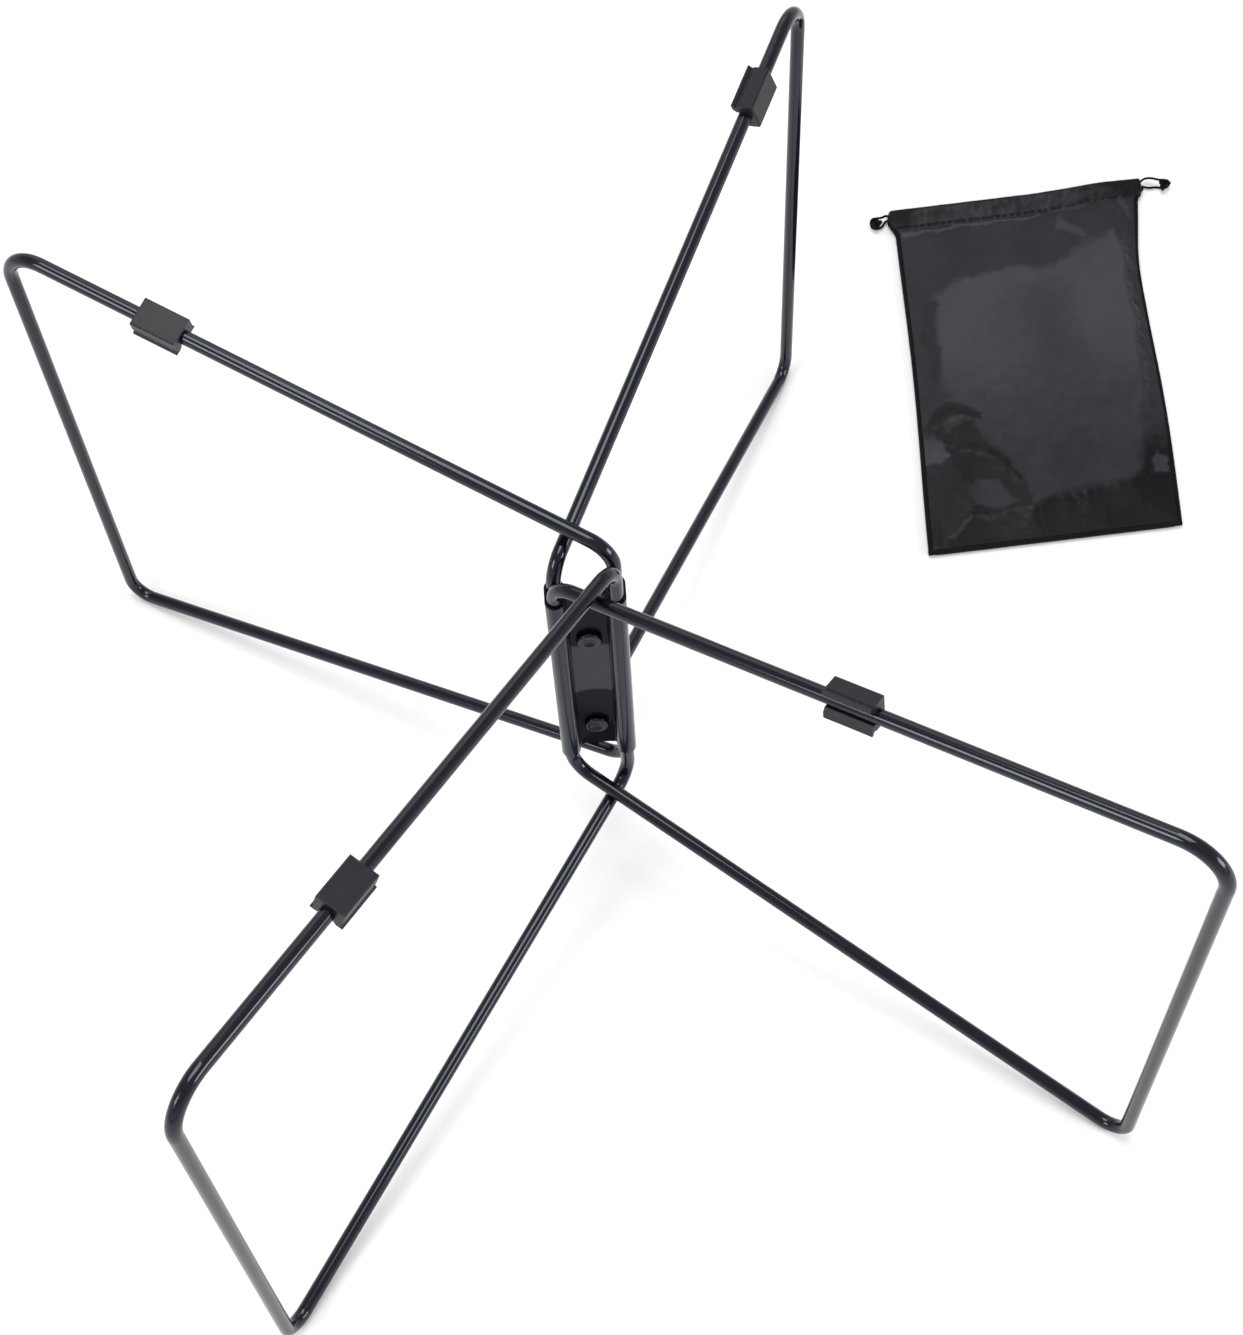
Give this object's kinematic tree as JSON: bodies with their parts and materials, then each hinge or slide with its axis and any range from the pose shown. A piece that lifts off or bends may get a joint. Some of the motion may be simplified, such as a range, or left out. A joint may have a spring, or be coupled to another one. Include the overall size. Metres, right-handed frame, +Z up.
{
  "type": "folding stand",
  "caption": "Folding stand of bent-wire loops hinged on a riveted sheet-metal hub, with a sliding plastic clip on each top wire, and a flat drawstring carry bag.",
  "frame": {"origin": "on the ground, under the middle of the hub", "axes": "+Z up along the hub's hinge tubes, +X to the right and +Y away from the front, across the hub's flat web"},
  "size_m": [0.4595, 0.4906, 0.2129],
  "materials": {
    "hub_enamel": "gloss black baked enamel on sheet steel",
    "rivet_enamel": "gloss black enamel on a domed steel rivet head",
    "wire_enamel": "gloss black baked enamel on round steel wire",
    "clip_plastic": "satin dark grey-black moulded plastic",
    "bag_nylon": "black coated nylon with a soft sheen",
    "seam_tape": "black sewn seam, matte",
    "cord": "thin black braided cord"
  },
  "bodies": {
    "hub": {"hub_front_plate": "hub_enamel", "hub_rear_plate": "hub_enamel", "upper_rivet": "rivet_enamel", "lower_rivet": "rivet_enamel"},
    "front_right_loop": {"front_right_leaf": "wire_enamel"},
    "front_right_clip": {"front_right_clip": "clip_plastic"},
    "front_left_loop": {"front_left_leaf": "wire_enamel"},
    "front_left_clip": {"front_left_clip": "clip_plastic"},
    "rear_right_loop": {"rear_right_leaf": "wire_enamel"},
    "rear_right_clip": {"rear_right_clip": "clip_plastic"},
    "rear_left_loop": {"rear_left_leaf": "wire_enamel"},
    "rear_left_clip": {"rear_left_clip": "clip_plastic"},
    "carry_bag": {"bag_front_panel": "bag_nylon", "bag_rear_panel": "bag_nylon", "bag_left_seam": "seam_tape", "bag_right_seam": "seam_tape", "bag_bottom_seam": "seam_tape", "bag_front_casing": "bag_nylon", "bag_rear_casing": "bag_nylon", "left_drawcord": "cord", "right_drawcord": "cord", "left_cord_loop": "cord", "right_cord_loop": "cord", "left_cord_knot": "cord", "right_cord_knot": "cord"}
  },
  "joints": [
    {"name": "front_right_fold", "type": "hinge", "parent": "hub", "child": "front_right_loop", "pos_m": [-0.01, -0.00275, 0], "axis": [0, 0, -1], "range_deg": [-9, 43]},
    {"name": "front_right_clip_slide", "type": "slide", "parent": "front_right_loop", "child": "front_right_clip", "axis": [0.7822, -0.5894, 0.2019], "range_m": [-0.012, 0.091]},
    {"name": "front_left_fold", "type": "hinge", "parent": "hub", "child": "front_left_loop", "pos_m": [0.01, -0.00275, 0], "axis": [0, 0, 1], "range_deg": [-50.5, 22.5]},
    {"name": "front_left_clip_slide", "type": "slide", "parent": "front_left_loop", "child": "front_left_clip", "axis": [-0.5583, -0.8123, 0.1686], "range_m": [-0.048, 0.055]},
    {"name": "rear_right_fold", "type": "hinge", "parent": "hub", "child": "rear_right_loop", "pos_m": [-0.01, 0.00275, 0], "axis": [0, 0, 1], "range_deg": [-13.5, 16]},
    {"name": "rear_right_clip_slide", "type": "slide", "parent": "rear_right_loop", "child": "rear_right_clip", "axis": [0.4293, 0.8803, 0.2019], "range_m": [-0.087, 0.016]},
    {"name": "rear_left_fold", "type": "hinge", "parent": "hub", "child": "rear_left_loop", "pos_m": [0.01, 0.00275, 0], "axis": [0, 0, -1], "range_deg": [-25.5, 47.5]},
    {"name": "rear_left_clip_slide", "type": "slide", "parent": "rear_left_loop", "child": "rear_left_clip", "axis": [-0.8493, 0.5003, 0.1686], "range_m": [-0.068, 0.035]},
    {"name": "bag_lift", "type": "slide", "parent": "hub", "child": "carry_bag", "axis": [0, 0, 1], "range_m": [0, 0.2]}
  ]
}
